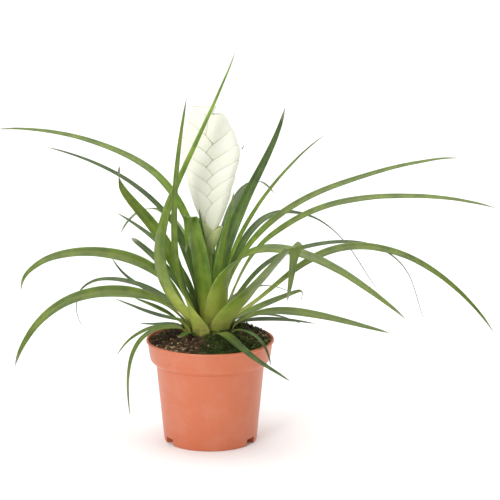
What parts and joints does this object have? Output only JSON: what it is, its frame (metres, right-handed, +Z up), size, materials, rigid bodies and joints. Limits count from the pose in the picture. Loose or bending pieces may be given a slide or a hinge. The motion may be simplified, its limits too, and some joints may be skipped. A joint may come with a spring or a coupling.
{
  "type": "potted bromeliad",
  "caption": "Bromeliad with a pale flat flower paddle and long arching leaves, growing in a round terracotta-coloured nursery pot.",
  "frame": {"origin": "centre of the pot's flat underside, on the surface it stands on", "axes": "+Z up along the pot's axis, -Y towards the front, where the flower paddle shows its flat face, +X to the right seen from the front"},
  "size_m": [0.3526, 0.2688, 0.2781],
  "materials": {
    "pot_plastic": "satin terracotta-coloured moulded plastic",
    "peat": "damp peat with bark and moss",
    "stem": "fibrous olive stem",
    "leaf_bright": "smooth green leaf, slightly glossy",
    "leaf_dark": "smooth dark green leaf",
    "stalk": "smooth yellow-green stalk",
    "bract_green": "smooth pale green scale",
    "bract_cream": "waxy cream scale",
    "petal": "dry withered petal"
  },
  "bodies": {
    "root": {"pot": "pot_plastic", "soil": "peat", "stem": "stem", "stalk": "stalk", "petal": "petal", "bract_01": "bract_green", "bract_02": "bract_green", "bract_03": "bract_cream", "bract_04": "bract_cream", "bract_05": "bract_cream", "bract_06": "bract_cream", "bract_07": "bract_cream", "bract_08": "bract_cream", "bract_09": "bract_cream", "bract_10": "bract_cream", "bract_11": "bract_cream", "bract_12": "bract_cream", "bract_13": "bract_cream", "bract_14": "bract_cream", "leaf_arching_left": "leaf_bright", "leaf_arching_right": "leaf_bright", "leaf_back_arching": "leaf_bright", "leaf_back_low": "leaf_bright", "leaf_bent_right": "leaf_bright", "leaf_broad_front_right": "leaf_bright", "leaf_crossing_front": "leaf_bright", "leaf_curled_left": "leaf_bright", "leaf_drooping_left": "leaf_bright", "leaf_folded_left": "leaf_bright", "leaf_folded_right": "leaf_bright", "leaf_hanging_left": "leaf_bright", "leaf_heart_front": "leaf_bright", "leaf_heart_left": "leaf_bright", "leaf_long_right": "leaf_bright", "leaf_low_right": "leaf_bright", "leaf_over_rim_front": "leaf_dark", "leaf_over_rim_right": "leaf_dark", "leaf_pot_side_left": "leaf_bright", "leaf_short_left": "leaf_bright", "leaf_sweeping_right": "leaf_bright", "leaf_tall_left": "leaf_bright", "leaf_upright_right": "leaf_bright", "leaf_arching_back_right": "leaf_dark", "leaf_back_long": "leaf_dark", "leaf_back_lowest": "leaf_dark", "leaf_back_upright": "leaf_dark", "leaf_broken_left": "leaf_dark", "leaf_curling_left": "leaf_dark", "leaf_drooping_back_right": "leaf_dark", "leaf_heart_dark": "leaf_dark", "leaf_heart_right": "leaf_dark", "leaf_hooked_left": "leaf_dark", "leaf_low_back_left": "leaf_dark", "leaf_low_back_right": "leaf_dark", "leaf_lower_right": "leaf_dark", "leaf_slim_left": "leaf_dark", "leaf_stub_front": "leaf_dark", "leaf_stub_left": "leaf_dark", "leaf_sweeping_left": "leaf_dark", "leaf_thin_back_left": "leaf_dark"}
  },
  "joints": []
}
